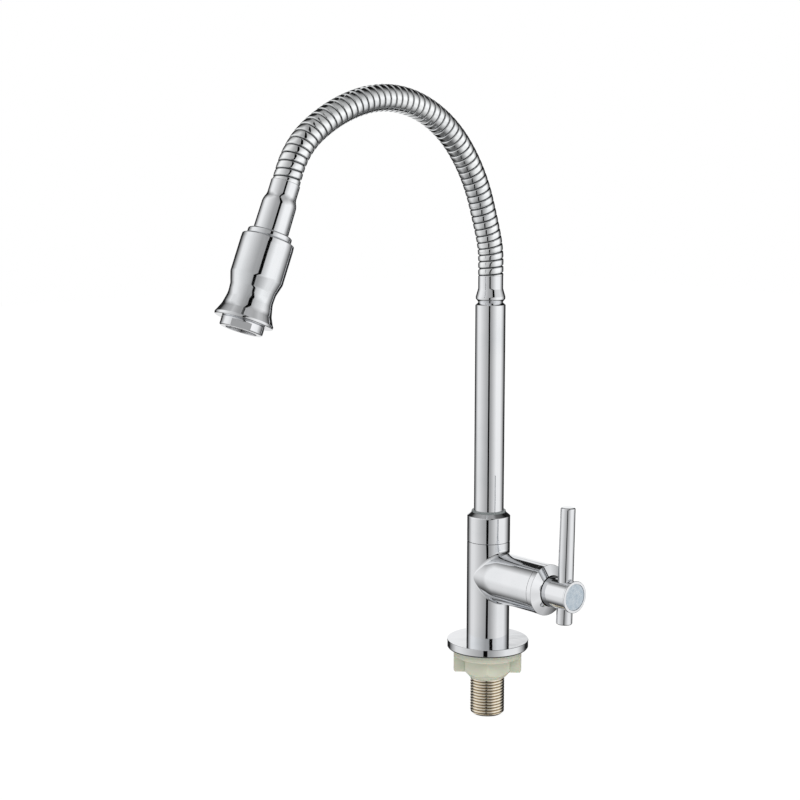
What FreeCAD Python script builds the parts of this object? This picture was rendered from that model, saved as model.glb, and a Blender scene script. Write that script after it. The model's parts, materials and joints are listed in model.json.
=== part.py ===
import FreeCAD, Part
import math
import os

os.makedirs("parts", exist_ok=True)

# A single cold water tap for a sink: a chrome body on a round flange, a quarter-turn valve in a
# side barrel with a lever, a straight riser, a ribbed gooseneck hose and a spray head.
# Millimetres. Z 0 is the deck, the spout points to -Y at rest and the barrel to +X.
Vector = FreeCAD.Vector

# Clearances
RUN = 0.05             # radial play of a turning fit
FIT = 0.1              # play between fixed pieces
SEAM = 0.1             # axial gap where two faces meet on different sides of a joint
PAST = 1.0             # how far a cutting shape reaches past what it cuts
EDGE = 0.3             # small broken edge of a turned piece

# Inlet thread, G1/2
THREAD_RADIUS = 10.478
THREAD_PITCH = 1.814
THREAD_DEPTH = 1.162
SHANK_DROP = 42.0      # thread below the deck
SHANK_BORE = 7.0       # radius
SHANK_GRIP = 14.0      # length screwed into the body

# Base
SEAL_RADIUS = 24.4
SEAL_THICKNESS = 0.6
FLANGE_RADIUS = 25.0
FLANGE_THICKNESS = 4.4
FLANGE_EDGE = 0.35     # rounding of the flange's rim

# Mounting nut under the deck
NUT_GAP = 0.3          # between the seal and the nut
NUT_RADIUS = 20.85
NUT_DISC = 4.8         # thickness of its washer face
NUT_HEIGHT = 18.3
NUT_FLAT = 13.6        # half the width across its hexagon
NUT_DOME = 5.0         # height of its rounded foot
NUT_DOME_ROUND = 3.0
NUT_FOOT_WALL = 0.6    # flat left round the hole at its foot
NUT_EDGE = 0.5
WING_EDGE = 0.8
CAMERA_SIDE = 45.0     # the nut's wings lie across this direction, as photographed
WING_DROP = 15.0
WING_WIDTH = 8.6

# Body
BODY_RADIUS = 13.15
BODY_TOP = 67.0
BORE_RADIUS = 5.0      # waterway
WASHER_THICKNESS = 1.5
NECK_RADIUS = 11.4     # thread that the collar nut screws on
NECK_LENGTH = 10.0
SOCKET_ROOM = 2.5      # room for the spigot's lead-in and the snap ring, below the neck's top
OUTLET_BORE = 2.5      # radius of the passage from the valve up to the spout

# Collar nut and spout bush
COLLAR_TOP = 85.0
COLLAR_LIP = 3.0
COLLAR_CHAMFER = 2.2
COLLAR_ROUND = 0.8     # softened edge under the chamfer
BUSH_RADIUS = 10.4
BUSH_TOP = 86.0
BUSH_EDGE = 0.4
SNAP_THICKNESS = 1.5
SNAP_SLOT = 4.0        # gap of the split ring

# Riser
RISER_RADIUS = 9.1
RISER_WALL = 1.6
RISER_TOP = 212.4
RISER_CHAMFER = 1.3
RISER_RIM = 0.2        # flat left on the riser's top
FOOT_RADIUS = 9.5      # brass spigot in the body
FOOT_LENGTH = 13.0     # sliding length of the spigot
FOOT_PLUG = 7.0        # length of the spigot inside the riser
FOOT_LIFT = 1.0        # the spigot's height over its socket's floor
FOOT_LEAD = 0.4
FOOT_ORING_INSET = 3.0 # from each end of the sliding length to an O-ring's middle
ORING_SECTION = 0.9    # radius of an O-ring's section
ORING_SQUEEZE = 0.05   # how far an O-ring stands proud of its groove's land

# Ferrule between riser and hose
FERRULE_PLUG = 12.0
FERRULE_FLARE = 8.9
FERRULE_NECK = 7.5
FLARE_HEIGHT = 2.9     # above the riser's top
FLARE_UNDER = 2.6      # the cone under the flare
FLARE_BAND = 0.7       # half the height of the flare's widest band
FLARE_ROUND = 0.9
TAPER_ROUND = 2.5
TAPER_HEIGHT = 8.4
FERRULE_HEIGHT = 16.0

# Gooseneck hose: wound ribs round a water tube, in eight stiff lengths on seven ball joints
HOSE_LENGTHS = 8
RIBS_PER_LENGTH = 7
RIB_PITCH = 4.2
RIB_RADIUS = 7.6
RIB_DEPTH = 0.9
RIB_CROWN = 0.3        # how far a rib's middle stands over its shoulders
RIB_GROOVE = 0.5       # width at the bottom
RIB_FLANK = 0.45
BALL_RADIUS = 6.3
BALL_REACH = 2.6       # how far a ball stands into the next length
BALL_GROOVE = 1.16     # width of the groove at a ball joint
HOSE_BORE = 4.8
TUBE_RADIUS = 4.3
TUBE_WALL = 1.2
TUBE_GAP = 0.8         # between two stretches of tube, at a ball joint
TUBE_SEAT = 11.5       # tube inside the ferrule and inside the connector
HOSE_SEAT = 7.5        # plain hose end inside the ferrule and inside the connector
HOSE_SEAT_RADIUS = 6.0

# Where the hose bends: length of each arc and the degrees it turns, after a straight start
HOSE_BENDS = [(16.0, 16.0), (22.0, 3.0), (36.0, 20.5), (40.0, 30.5), (40.0, 33.0), (40.0, 23.5)]
HOSE_LAST_TURN = 31.5

# Valve barrel, to +X
BARREL_HEIGHT = 46.0
BARREL_RADIUS = 15.2
BARREL_SWELL = 14.0    # where the barrel reaches its full radius
BARREL_CURVE = 40.0    # radius of that swelling
BARREL_END = 47.0
BARREL_BLEND = 2.0     # rounding where the barrel leaves the body
RING_RADIUS = BARREL_RADIUS + 0.1
RING_RIM = 50.5        # where the bonnet ring's cone starts
RING_FACE = 53.0
RING_HOLE = 9.4
RING_CAVITY = 11.2     # radius behind the ring's lip
RING_LIP = 3.0
RING_THREAD = 13.0     # radius of the thread in the barrel's mouth

# Quarter-turn cartridge in the barrel
SEAT_FACE = 10.0
SEAT_SEAL = 2.2        # thickness
CAGE_RADIUS = 9.4
CAGE_LENGTH = 18.0
CAGE_WALL = 1.3
CAGE_SHOULDER = 4.0    # from the end of the carrier's room to the threaded stretch
DISC_THICKNESS = 3.5
DISC_WINDOW = 80.0     # degrees of each water window
DISC_RIM = 1.2         # solid rim round the windows
DISC_CORE = 1.8        # radius of the solid middle
CARRIER_RIM = 1.0      # solid end of the carrier beyond its windows
THREAD_LENGTH = 11.0   # threaded stretch of the cartridge
GLAND_FLANGE = 1.5     # thickness of the flange under the bonnet ring
GLAND_HEX = 8.5        # half the width across flats
GLAND_HEX_LENGTH = 2.0
STEM_RADIUS = 5.5
STEM_ORING_PLACES = [4.0, 9.0]  # from the carrier's end
GROOVE_LAND = 0.4      # land between an O-ring's groove and the next step
SPLINE_RADIUS = 3.95
SPLINE_TEETH = 20
SPLINE_DEPTH = 0.45
CLIP_THICKNESS = 1.0
CLIP_RADIUS = 6.5
CLIP_DEPTH = 0.7       # depth of its groove
STEM_CLEAR = 0.8       # from the stem's end to the lever

# Handle
HUB_RADIUS = 8.9
HUB_BACK = 47.5
HUB_FACE = 71.9
CAP_RADIUS = 9.5       # flange round the hub's face
CAP_THICKNESS = 1.4
CAP_RIM = 1.6          # bright rim round the index disc
HUB_EDGE = 0.4
INDEX_THICKNESS = 1.2
INDEX_SET = 0.2        # how deep the disc sits below the rim
INDEX_EDGE = 0.2
LEVER_PLACE = 64.0
LEVER_TOP = 97.9
LEVER_FOOT = 28.4
LEVER_TOP_RADIUS = 4.35
LEVER_FOOT_RADIUS = 4.8
LEVER_EDGE = 1.0
LEVER_LEAN = 1.6       # degrees
SCREW_RADIUS = 1.95
SCREW_HEAD = 3.45
SCREW_HEAD_LENGTH = 3.2
SCREW_KEY = 1.5        # half the key socket's width
SCREW_KEY_DEPTH = 2.0
SCREW_SEAT = 3.0       # from the lever's middle to the screw head's seat
SCREW_LENGTH = 17.0

# Spray head, measured along the water from the hose's end
CONNECTOR_NECK = 8.0
CONNECTOR_NECK_LENGTH = 7.8
CONNECTOR_SHOULDER = 9.4
CONNECTOR_SHOULDER_END = 11.3
CONNECTOR_END_RADIUS = 9.6
CONNECTOR_END = 27.9
SPIGOT_RADIUS = 6.8
SPIGOT_LENGTH = 17.8
SPIGOT_BORE = 4.0
SPIGOT_ORINGS = [5.0, 9.6]      # from the connector's end
CONNECTOR_EDGES = (6.0, 8.0)    # rounding under the neck and at the shoulder
HEAD_ORING = 0.8
RING_NUT_RADIUS = 12.1
RING_NUT_END = 31.5
RING_NUT_LIP = 1.25
RING_NUT_EDGE = 1.0
CORE_INSET = 1.7       # how far the core reaches up into the ring nut
CORE_NECK = 9.1
CORE_RADIUS = 10.3
CORE_END = 61.3
CORE_BORE_LENGTH = 13.9
CORE_CHAMBER = 1.0     # room under the spigot's end
CORE_SHELF = 6.0       # solid length above the flow regulator
HEAD_CIRCLIP = 8.3
CIRCLIP_THICKNESS = 0.9
CIRCLIP_DEPTH = 0.6    # depth of its groove
CIRCLIP_ROOM = 0.3     # play round it
CIRCLIP_SLOT = 3.0     # gap of the split ring
SHELL_TOP_RADIUS = 14.3
SHELL_RADIUS = 14.45
SHELL_TOP_PLATE = 2.2
SHELL_TOP_EDGE = 0.8
SHELL_TOP_LENGTH = 3.0 # the slightly narrower top
SHELL_WALL = 1.5
SHELL_CYLINDER_END = 53.2
SHELL_SHOULDER = 12.6
SHELL_SHOULDER_END = 59.4
SHELL_WAIST = 12.3
SHELL_WAIST_AT = 64.3
SHELL_BELL = 13.7
SHELL_BELL_AT = 70.7
SHELL_LIP = 16.15
SHELL_LIP_AT = 75.9
SHELL_END = 77.3
SHELL_LIP_EDGE = 0.2
SHELL_CURVES = (4.0, 12.0, 8.0) # rounding of the steps, the waist and the bell
SHELL_LIP_ROUNDS = (1.0, 0.6)
SHELL_STEP = 2.0       # inside, the cylinder narrows this far before it does outside
NOZZLE_RADIUS = 11.8
NOZZLE_LENGTH = 4.8
NOZZLE_THREAD = 10.9
NOZZLE_THREAD_LENGTH = 12.0
NOZZLE_WALL = 1.5
NOZZLE_EDGE = 0.8
NOZZLE_COLLAR = 0.9    # round band behind the wrench flats
NOZZLE_LIP = 1.0       # inward lip that holds the screen
NOZZLE_LIP_LENGTH = 1.2
NOZZLE_FLATS = 10.5    # half the width across the two wrench flats
FLAT_TURN = -50.0      # turns one wrench flat towards the front right
AERATOR_SEAL = 1.6     # thickness
AERATOR_SEAL_WALL = 1.4
INSERT_BACK = 0.6      # the insert's plate lies this deep in the nozzle
INSERT_CLEAR = 0.4     # between the insert and the screen
INSERT_WALL = 1.0
INSERT_PLATE = 2.0
INSERT_HOLES = 8
INSERT_HOLE = 1.0
INSERT_CIRCLE = 0.6    # share of the insert's radius that its holes stand at
SCREEN_THICKNESS = 0.9
SCREEN_HOLE = 0.55
SCREEN_SPACING = 1.9
SCREEN_RINGS = 4
REGULATOR_RADIUS = 8.0
REGULATOR_THICKNESS = 3.0
REGULATOR_HOLES = 6
REGULATOR_HOLE = 1.1


# Shapes

def outline(points):
    """A closed face in the radius and height plane; a third value rounds that corner."""
    corners = [Vector(point[0], 0, point[1]) for point in points]
    starts = []
    ends = []
    arcs = []
    for number, corner in enumerate(corners):
        rounding = points[number][2] if len(points[number]) > 2 else 0
        if rounding == 0:
            starts.append(corner)
            ends.append(corner)
            arcs.append(None)
            continue
        before = (corners[number - 1] - corner).normalize()
        after = (corners[(number + 1) % len(corners)] - corner).normalize()
        half = before.getAngle(after) / 2
        start = corner + before * (rounding / math.tan(half))
        end = corner + after * (rounding / math.tan(half))
        inward = (before + after).normalize()
        middle = corner + inward * (rounding / math.sin(half) - rounding)
        starts.append(start)
        ends.append(end)
        arcs.append(Part.Arc(start, middle, end).toShape())
    edges = []
    for number in range(len(corners)):
        if arcs[number]:
            edges.append(arcs[number])
        following = (number + 1) % len(corners)
        if ends[number].distanceToPoint(starts[following]) > 1e-6:
            edges.append(Part.makeLine(ends[number], starts[following]))
    return Part.Face(Part.Wire(edges))


def turned(points):
    """A solid of revolution about Z from an outline of (radius, height) corners."""
    return outline(points).revolve(Vector(0, 0, 0), Vector(0, 0, 1), 360)


def ring(inner, outer, low, high, edge=0):
    """A plain ring or, with an inner radius of 0, a disc; edge rounds its outer corners."""
    return turned([(inner, low), (outer, low, edge), (outer, high, edge), (inner, high)])


def oring(outer, section, height):
    """An O-ring that reaches out to the given radius."""
    return Part.makeTorus(outer - section, section, Vector(0, 0, height))


def orings(outer, heights):
    return Part.makeCompound([oring(outer, ORING_SECTION, height) for height in heights])


def prism(half_width, sides, low, high, turn=0):
    """A regular prism about Z; half_width reaches its flats and a corner points along turn."""
    reach = half_width / math.cos(math.pi / sides)
    corners = []
    for number in range(sides + 1):
        angle = math.radians(turn) + 2 * math.pi * number / sides
        corners.append(Vector(reach * math.cos(angle), reach * math.sin(angle), low))
    return Part.Face(Part.makePolygon(corners)).extrude(Vector(0, 0, high - low))


def along_barrel(shape):
    """Moves a shape built along Z onto the barrel's axis."""
    turn = FreeCAD.Rotation(Vector(0, 1, 0), 90)
    shape.Placement = FreeCAD.Placement(Vector(0, 0, BARREL_HEIGHT), turn)
    return shape


# The hose's line

HOSE_LENGTH = HOSE_LENGTHS * RIBS_PER_LENGTH * RIB_PITCH
HOSE_STRAIGHT = 2 * RIB_RADIUS - HOSE_SEAT
HOSE_START = RISER_TOP + FERRULE_HEIGHT


def hose_arcs():
    """Every stretch of the hose's line as (length, degrees), straight at both ends."""
    bent = sum(bend[0] for bend in HOSE_BENDS)
    last = HOSE_LENGTH - 2 * HOSE_STRAIGHT - bent
    return [(HOSE_STRAIGHT, 0.0)] + HOSE_BENDS + [(last, HOSE_LAST_TURN), (HOSE_STRAIGHT, 0.0)]


def hose_point(along):
    """The point and the turn, in degrees from straight up, at a length along the hose."""
    y = 0.0
    z = HOSE_START
    turn = 0.0
    left = along
    stretches = hose_arcs()
    for number, (length, degrees) in enumerate(stretches):
        is_last = number == len(stretches) - 1
        step = left if is_last else min(left, length)
        if degrees == 0:
            y -= math.sin(turn) * step
            z += math.cos(turn) * step
        else:
            curve = math.radians(degrees) / length
            y += (math.cos(turn + curve * step) - math.cos(turn)) / curve
            z += (math.sin(turn + curve * step) - math.sin(turn)) / curve
            turn += curve * step
        left -= step
        if left <= 0 and step < length or is_last:
            break
    return Vector(0, y, z), math.degrees(turn)


def on_hose(shape, along):
    """Moves a shape built along Z onto the hose's line, its X axis kept."""
    point, turn = hose_point(along)
    shape.Placement = FreeCAD.Placement(point, FreeCAD.Rotation(Vector(1, 0, 0), turn))
    return shape


def hose_loft(stations):
    """A ruled solid through circles, each given as (length along the hose, radius)."""
    wires = []
    for along, radius in stations:
        wires.append(on_hose(Part.Wire(Part.makeCircle(radius)), along))
    return Part.makeLoft(wires, True, True)


def hose_sphere(radius, along):
    point, turn = hose_point(along)
    return Part.makeSphere(radius, point)


def on_head(shape):
    return on_hose(shape, HOSE_LENGTH)


LENGTH_STEP = RIBS_PER_LENGTH * RIB_PITCH


def hose_length(number):
    """One stiff length of ribbed hose, with a socket at its start and a ball at its end."""
    start = number * LENGTH_STEP
    end = start + LENGTH_STEP
    has_socket = number > 0
    has_ball = number < HOSE_LENGTHS - 1
    stations = []
    for rib in range(RIBS_PER_LENGTH):
        low = start + rib * RIB_PITCH
        high = low + RIB_PITCH
        low_groove = RIB_GROOVE / 2
        high_groove = RIB_GROOVE / 2
        if rib == 0:
            low_groove = BALL_GROOVE / 2 if has_socket else 0
        if rib == RIBS_PER_LENGTH - 1:
            high_groove = BALL_GROOVE / 2 if has_ball else 0
        stations.append((low + low_groove, RIB_RADIUS - RIB_DEPTH))
        stations.append((low + low_groove + RIB_FLANK, RIB_RADIUS - RIB_CROWN))
        stations.append(((low + high) / 2, RIB_RADIUS))
        stations.append((high - high_groove - RIB_FLANK, RIB_RADIUS - RIB_CROWN))
        stations.append((high - high_groove, RIB_RADIUS - RIB_DEPTH))
    shape = hose_loft(stations)
    bore_low = start
    bore_high = end
    plain_end = ring(0, HOSE_SEAT_RADIUS, 0, HOSE_SEAT)
    if not has_socket:
        shape = shape.fuse(on_hose(plain_end, -HOSE_SEAT))
        bore_low = start - 2 * RIB_PITCH
    if not has_ball:
        shape = shape.fuse(on_hose(plain_end, end))
        bore_high = end + 2 * RIB_PITCH
    if has_ball:
        collar = on_hose(ring(0, BALL_RADIUS + 1, -BALL_GROOVE / 2, BALL_REACH), end)
        shape = shape.fuse(hose_sphere(BALL_RADIUS, end).common(collar))
        bore_high = end + RIB_PITCH
    if has_socket:
        shape = shape.cut(hose_sphere(BALL_RADIUS + RUN, start))
        bore_low = start - RIB_PITCH
    steps = round((bore_high - bore_low) / RIB_PITCH)
    bore = hose_loft([(bore_low + step * RIB_PITCH, HOSE_BORE) for step in range(steps + 1)])
    return shape.cut(bore)


def water_tube(number):
    """The water tube inside one length of hose."""
    low = number * LENGTH_STEP + TUBE_GAP / 2
    high = (number + 1) * LENGTH_STEP - TUBE_GAP / 2
    if number == 0:
        low = -TUBE_SEAT
    if number == HOSE_LENGTHS - 1:
        high = HOSE_LENGTH + TUBE_SEAT
    inner = [low + (high - low) * step / RIBS_PER_LENGTH for step in range(RIBS_PER_LENGTH + 1)]
    outside = hose_loft([(along, TUBE_RADIUS) for along in inner])
    inside = hose_loft([(along, TUBE_RADIUS - TUBE_WALL) for along in inner])
    return outside.cut(inside)


# Base and body

FLANGE_TOP = SEAL_THICKNESS + FLANGE_THICKNESS
SHANK_TOP = FLANGE_TOP + SHANK_GRIP
WASHER_TOP = SHANK_TOP + WASHER_THICKNESS + FIT
NUT_TOP = -NUT_GAP

def threaded_shank():
    root = THREAD_RADIUS - THREAD_DEPTH
    land = THREAD_PITCH / 8
    turns = int((SHANK_DROP - THREAD_PITCH) / THREAD_PITCH)
    profile = [(SHANK_BORE, -SHANK_DROP), (root, -SHANK_DROP)]
    for turn in range(turns):
        crest = -SHANK_DROP + THREAD_PITCH * (turn + 0.75)
        profile.append((THREAD_RADIUS, crest - land))
        profile.append((THREAD_RADIUS, crest + land))
        profile.append((root, crest + THREAD_PITCH / 2 - land))
        profile.append((root, crest + THREAD_PITCH / 2 + land))
    profile.append((THREAD_RADIUS, profile[-1][1] + THREAD_DEPTH / 2))
    profile.append((THREAD_RADIUS, SHANK_TOP))
    profile.append((SHANK_BORE, SHANK_TOP))
    return turned(profile)


def mounting_nut():
    hole = THREAD_RADIUS + FIT
    foot = NUT_TOP - NUT_HEIGHT
    reach = NUT_FLAT / math.cos(math.pi / 6)
    disc = ring(0, NUT_RADIUS, NUT_TOP - NUT_DISC, NUT_TOP, NUT_EDGE)
    hub = prism(NUT_FLAT, 6, foot, NUT_TOP - NUT_DISC / 2, CAMERA_SIDE - 90)
    dome = turned([(0, foot), (hole + NUT_FOOT_WALL, foot), (reach, foot + NUT_DOME, NUT_DOME_ROUND),
                   (reach, NUT_TOP), (0, NUT_TOP)])
    bar = Part.makeBox(2 * NUT_RADIUS, WING_WIDTH, WING_DROP - NUT_DISC / 2,
                       Vector(-NUT_RADIUS, -WING_WIDTH / 2, NUT_TOP - WING_DROP))
    bar.rotate(Vector(0, 0, 0), Vector(0, 0, 1), CAMERA_SIDE)
    wings = bar.common(ring(0, NUT_RADIUS, NUT_TOP - WING_DROP, NUT_TOP, WING_EDGE))
    shape = disc.fuse([hub.common(dome), wings]).removeSplitter()
    return shape.cut(ring(0, hole, foot - PAST, NUT_TOP + PAST))


def base_flange():
    return ring(THREAD_RADIUS + FIT, FLANGE_RADIUS, SEAL_THICKNESS, FLANGE_TOP, FLANGE_EDGE)


SOCKET_FLOOR = BODY_TOP + NECK_LENGTH - SNAP_THICKNESS - FOOT_LENGTH - SOCKET_ROOM
CHAMBER_RADIUS = THREAD_RADIUS + RUN
CAGE_END = SEAT_FACE + SEAT_SEAL + CAGE_LENGTH
THREAD_END = CAGE_END + THREAD_LENGTH
GLAND_END = THREAD_END + GLAND_FLANGE
HEX_END = GLAND_END + GLAND_HEX_LENGTH


def tap_body():
    post = ring(0, BODY_RADIUS, FLANGE_TOP, BODY_TOP)
    barrel = along_barrel(turned([(0, 0), (BODY_RADIUS - FIT, 0),
                                  (BARREL_RADIUS, BARREL_SWELL, BARREL_CURVE),
                                  (BARREL_RADIUS, BARREL_END), (0, BARREL_END)]))
    shape = post.fuse(barrel).removeSplitter()
    seams = [edge for edge in shape.Edges if "BSpline" in edge.Curve.TypeId]
    shape = shape.makeFillet(BARREL_BLEND, seams)
    shape = shape.fuse(ring(0, NECK_RADIUS, BODY_TOP, BODY_TOP + NECK_LENGTH))
    shank_hole = ring(0, THREAD_RADIUS + FIT, FLANGE_TOP - PAST, WASHER_TOP)
    inlet = ring(0, BORE_RADIUS, WASHER_TOP - PAST, BARREL_HEIGHT)
    seat = along_barrel(ring(0, BORE_RADIUS, 0, SEAT_FACE + PAST))
    turning = Part.makeSphere(BORE_RADIUS, Vector(0, 0, BARREL_HEIGHT))
    chamber = along_barrel(ring(0, CHAMBER_RADIUS, SEAT_FACE, BARREL_END + PAST))
    mouth = along_barrel(ring(0, RING_THREAD + FIT, THREAD_END, BARREL_END + PAST))
    socket = ring(0, FOOT_RADIUS + RUN, SOCKET_FLOOR, BODY_TOP + NECK_LENGTH + PAST)
    outlet_start = Vector(FOOT_RADIUS - 2 * OUTLET_BORE, 0, SOCKET_FLOOR + PAST)
    outlet_end = Vector(SEAT_FACE + SEAT_SEAL + OUTLET_BORE, 0, BARREL_HEIGHT + CAGE_RADIUS)
    run = outlet_end - outlet_start
    outlet = Part.makeCylinder(OUTLET_BORE, run.Length, outlet_start, run)
    for space in (shank_hole, inlet, seat, turning, chamber, mouth, socket, outlet):
        shape = shape.cut(space)
    return shape


def collar_nut():
    hole = NECK_RADIUS + FIT
    lip = BUSH_RADIUS + FIT
    return turned([(hole, BODY_TOP + FIT), (BODY_RADIUS, BODY_TOP + FIT, EDGE),
                   (BODY_RADIUS, COLLAR_TOP - COLLAR_CHAMFER, COLLAR_ROUND), (lip, COLLAR_TOP),
                   (lip, COLLAR_TOP - COLLAR_LIP), (hole, COLLAR_TOP - COLLAR_LIP)])


NECK_TOP = BODY_TOP + NECK_LENGTH
SNAP_LOW = NECK_TOP + SEAM
SNAP_HIGH = SNAP_LOW + SNAP_THICKNESS
SNAP_GROOVE = RISER_RADIUS - RISER_WALL / 3


def spout_bush():
    hole = RISER_RADIUS + RUN
    flange_top = COLLAR_TOP - COLLAR_LIP - FIT
    return turned([(hole, SNAP_HIGH + SEAM), (NECK_RADIUS, SNAP_HIGH + SEAM), (NECK_RADIUS, flange_top),
                   (BUSH_RADIUS, flange_top), (BUSH_RADIUS, BUSH_TOP, BUSH_EDGE), (hole, BUSH_TOP)])


def bonnet_ring():
    sleeve_low = GLAND_END + FIT
    lip_low = RING_FACE - RING_LIP
    return turned([(RING_CAVITY, sleeve_low), (RING_THREAD, sleeve_low), (RING_THREAD, BARREL_END + FIT),
                   (RING_RADIUS, BARREL_END + FIT, EDGE), (RING_RADIUS, RING_RIM, EDGE),
                   (RING_HOLE, RING_FACE), (RING_HOLE, lip_low), (RING_CAVITY, lip_low)])


# Cartridge

DISC_BACK = SEAT_FACE + SEAT_SEAL + FIT
DISC_FACE = DISC_BACK + DISC_THICKNESS
CARRIER_BACK = DISC_FACE + SEAM / 2 + DISC_THICKNESS
CARRIER_END = CAGE_END - CAGE_SHOULDER
DISC_RADIUS = CAGE_RADIUS - CAGE_WALL - FIT
CARTRIDGE_ORING = CHAMBER_RADIUS - FIT
CARTRIDGE_GROOVE = THREAD_END - GROOVE_LAND


def sector(inner, outer, low, high, middle, degrees):
    """A sector of a ring about Z, its middle at the given angle."""
    face = outline([(inner, low), (outer, low), (outer, high), (inner, high)])
    face.rotate(Vector(0, 0, 0), Vector(0, 0, 1), middle - degrees / 2)
    return face.revolve(Vector(0, 0, 0), Vector(0, 0, 1), degrees)


def cartridge_body():
    low = DISC_BACK
    bore = CAGE_RADIUS - CAGE_WALL
    stem = STEM_RADIUS + RUN
    groove_high = CARTRIDGE_GROOVE
    groove_low = groove_high - 2 * ORING_SECTION - 2 * FIT
    groove = CARTRIDGE_ORING - 2 * ORING_SECTION - FIT
    shape = turned([(bore, low), (CAGE_RADIUS, low), (CAGE_RADIUS, CAGE_END), (THREAD_RADIUS, CAGE_END),
                    (THREAD_RADIUS, groove_low), (groove, groove_low), (groove, groove_high),
                    (THREAD_RADIUS, groove_high), (THREAD_RADIUS, THREAD_END + FIT),
                    (RING_THREAD - FIT, THREAD_END + FIT), (RING_THREAD - FIT, GLAND_END), (stem, GLAND_END),
                    (stem, CARRIER_END + FIT), (bore, CARRIER_END + FIT)])
    hexagon = prism(GLAND_HEX, 6, GLAND_END, HEX_END)
    shape = shape.fuse(hexagon.cut(ring(0, stem, GLAND_END - PAST, HEX_END + PAST)))
    for middle in (0, 180):
        window = sector(bore - PAST, CAGE_RADIUS + PAST, CARRIER_BACK, CARRIER_END - CARRIER_RIM, middle,
                        DISC_WINDOW)
        shape = shape.cut(window)
    return along_barrel(shape)


def ceramic_disc(low, high, radius, middle):
    shape = ring(0, radius, low, high)
    for turn in (0, 180):
        window = sector(DISC_CORE, radius - DISC_RIM, low - PAST, high + PAST, middle + turn, DISC_WINDOW)
        shape = shape.cut(window)
    return along_barrel(shape)


SPINDLE_END = LEVER_PLACE - LEVER_FOOT_RADIUS - STEM_CLEAR
CLIP_LOW = HEX_END + FIT
CLIP_FLOOR = SPLINE_RADIUS - CLIP_DEPTH
STEM_ORINGS = [CARRIER_END + place for place in STEM_ORING_PLACES]
STEM_ORING_FLOOR = STEM_RADIUS - 2 * ORING_SECTION - FIT


def cartridge_spindle():
    disc = DISC_RADIUS - RUN
    profile = [(0, CARRIER_BACK + FIT), (disc, CARRIER_BACK + FIT), (disc, CARRIER_END),
               (STEM_RADIUS, CARRIER_END)]
    half = ORING_SECTION + FIT
    for height in STEM_ORINGS:
        profile += [(STEM_RADIUS, height - half), (STEM_ORING_FLOOR, height - half),
                    (STEM_ORING_FLOOR, height + half), (STEM_RADIUS, height + half)]
    clip_high = CLIP_LOW + CLIP_THICKNESS + FIT
    profile += [(STEM_RADIUS, HEX_END - FIT), (SPLINE_RADIUS, HEX_END - FIT), (SPLINE_RADIUS, CLIP_LOW),
                (CLIP_FLOOR, CLIP_LOW), (CLIP_FLOOR, clip_high), (SPLINE_RADIUS, clip_high),
                (SPLINE_RADIUS, SPINDLE_END), (0, SPINDLE_END)]
    shape = turned(profile)
    for middle in (0, 180):
        window = sector(STEM_RADIUS - CARRIER_RIM, CAGE_RADIUS, CARRIER_BACK, CARRIER_END - CARRIER_RIM,
                        middle, DISC_WINDOW)
        shape = shape.cut(window)
    grooves = []
    for tooth in range(SPLINE_TEETH):
        groove = prism(SPLINE_DEPTH, 4, HUB_BACK, SPINDLE_END + PAST)
        groove.translate(Vector(SPLINE_RADIUS + SPLINE_DEPTH / 2, 0, 0))
        groove.rotate(Vector(0, 0, 0), Vector(0, 0, 1), 360 * tooth / SPLINE_TEETH)
        grooves.append(groove)
    shape = shape.cut(grooves)
    shape = shape.cut(ring(0, SCREW_RADIUS + RUN, SPINDLE_END - SCREW_GRIP - PAST, SPINDLE_END + PAST))
    return along_barrel(shape)


# Handle

HEAD_SEAT = LEVER_PLACE + SCREW_SEAT
SCREW_GRIP = SCREW_LENGTH - (HEAD_SEAT - SPINDLE_END)
INDEX_RADIUS = CAP_RADIUS - CAP_RIM - FIT
INDEX_BACK = HUB_FACE - INDEX_SET - INDEX_THICKNESS


def handle_hub():
    recess = CAP_RADIUS - CAP_RIM
    cap_low = HUB_FACE - CAP_THICKNESS
    shape = turned([(SPLINE_RADIUS + RUN, HUB_BACK), (HUB_RADIUS, HUB_BACK, HUB_EDGE), (HUB_RADIUS, cap_low),
                    (CAP_RADIUS, cap_low, HUB_EDGE), (CAP_RADIUS, HUB_FACE, HUB_EDGE), (recess, HUB_FACE),
                    (recess, INDEX_BACK), (0, INDEX_BACK),
                    (0, SPINDLE_END + FIT), (SPLINE_RADIUS + RUN, SPINDLE_END + FIT)])
    shape = shape.cut(ring(0, SCREW_RADIUS + FIT, SPINDLE_END, INDEX_BACK + PAST))
    shape = shape.cut(ring(0, SCREW_HEAD + FIT, HEAD_SEAT, INDEX_BACK + PAST))
    shape = along_barrel(shape)
    return leaned(shape.cut(lever_rod(FIT)))


def leaned(shape):
    shape.rotate(Vector(0, 0, BARREL_HEIGHT), Vector(1, 0, 0), -LEVER_LEAN)
    return shape


def lever_rod(play):
    edge = LEVER_EDGE
    shape = turned([(0, LEVER_FOOT), (LEVER_FOOT_RADIUS + play, LEVER_FOOT, edge),
                    (LEVER_TOP_RADIUS + play, LEVER_TOP, edge), (0, LEVER_TOP)])
    shape.translate(Vector(LEVER_PLACE, 0, 0))
    return shape


def lever():
    shape = lever_rod(0)
    shape = shape.cut(along_barrel(ring(0, SCREW_RADIUS + FIT, SPINDLE_END, HUB_FACE)))
    shape = shape.cut(along_barrel(ring(0, SCREW_HEAD + FIT, HEAD_SEAT, HUB_FACE)))
    return leaned(shape)


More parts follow.
